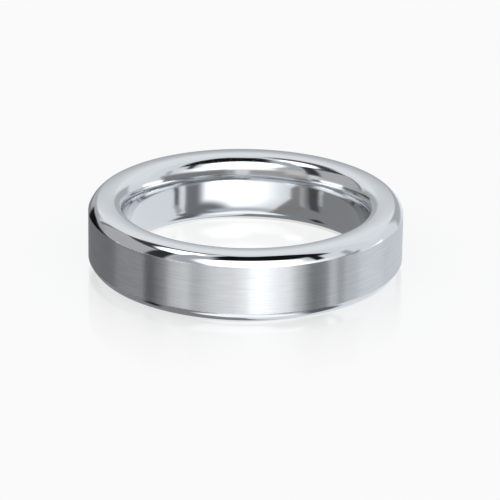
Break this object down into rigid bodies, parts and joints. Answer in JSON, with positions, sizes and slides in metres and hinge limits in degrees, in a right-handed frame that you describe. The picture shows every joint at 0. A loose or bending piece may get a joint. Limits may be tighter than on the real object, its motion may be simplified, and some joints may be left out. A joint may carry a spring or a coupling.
{
  "type": "wedding band",
  "caption": "Plain finger ring with a flat satin-brushed outer face, polished bevels and side faces, and a rounded comfort-fit bore.",
  "frame": {"origin": "centre of the finger hole, halfway between the two side faces", "axes": "+Z along the finger hole's axis, so the ring lies flat on its lower side face; +X and +Y are in the plane of the ring"},
  "size_m": [0.023, 0.023, 0.005],
  "materials": {
    "band_metal": "satin-brushed outer face, mirror-polished bevels, side faces and bore"
  },
  "bodies": {
    "root": {"band": "band_metal"}
  },
  "joints": []
}
